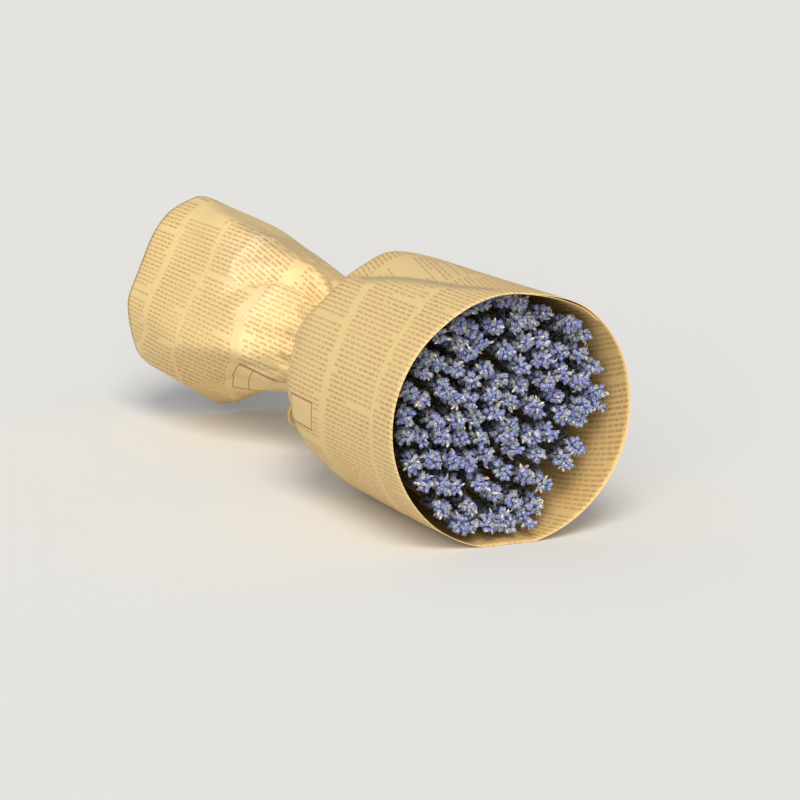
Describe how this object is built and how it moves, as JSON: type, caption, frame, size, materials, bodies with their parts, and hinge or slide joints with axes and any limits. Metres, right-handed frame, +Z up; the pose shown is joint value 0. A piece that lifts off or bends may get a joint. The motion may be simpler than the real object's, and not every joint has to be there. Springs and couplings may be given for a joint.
{
  "type": "dried lavender bunch",
  "caption": "Dried lavender bunch lying on its side in a printed kraft paper sleeve, gathered and tied at a waist, with flower heads in the open mouth.",
  "frame": {"origin": "middle of the bounding box's base, on the surface the bunch lies on", "axes": "+X along the bunch towards the flower heads and the open mouth, +Z up"},
  "size_m": [0.433, 0.1504, 0.1488],
  "materials": {
    "paper": "kraft paper with brown print on both faces, matt",
    "stems": "dry stems, matt",
    "twine": "natural plant fibre, matt",
    "flowers": "dried blue-violet flower calyxes, matt"
  },
  "bodies": {
    "root": {"paper_wrap": "paper", "stems_front": "stems", "stems_rear": "stems", "twine_tie": "twine", "flower_heads_01": "flowers", "flower_heads_02": "flowers", "flower_heads_03": "flowers", "flower_heads_04": "flowers", "flower_heads_05": "flowers", "flower_heads_06": "flowers", "flower_heads_07": "flowers", "flower_heads_08": "flowers", "flower_heads_09": "flowers", "flower_heads_10": "flowers", "flower_heads_11": "flowers", "flower_heads_12": "flowers", "flower_heads_13": "flowers", "flower_heads_14": "flowers", "flower_heads_15": "flowers", "flower_heads_16": "flowers", "flower_heads_17": "flowers", "flower_heads_18": "flowers", "flower_heads_19": "flowers", "flower_heads_20": "flowers", "flower_heads_21": "flowers", "flower_heads_22": "flowers", "flower_heads_23": "flowers", "flower_heads_24": "flowers", "flower_heads_25": "flowers", "flower_heads_26": "flowers", "flower_heads_27": "flowers", "flower_heads_28": "flowers", "flower_heads_29": "flowers", "flower_heads_30": "flowers", "flower_heads_31": "flowers", "flower_heads_32": "flowers", "flower_heads_33": "flowers", "flower_heads_34": "flowers", "flower_heads_35": "flowers", "flower_heads_36": "flowers", "flower_heads_37": "flowers", "flower_heads_38": "flowers", "flower_heads_39": "flowers", "flower_heads_40": "flowers", "flower_heads_41": "flowers", "flower_heads_42": "flowers", "flower_heads_43": "flowers", "flower_heads_44": "flowers", "flower_heads_45": "flowers", "flower_heads_46": "flowers"}
  },
  "joints": []
}
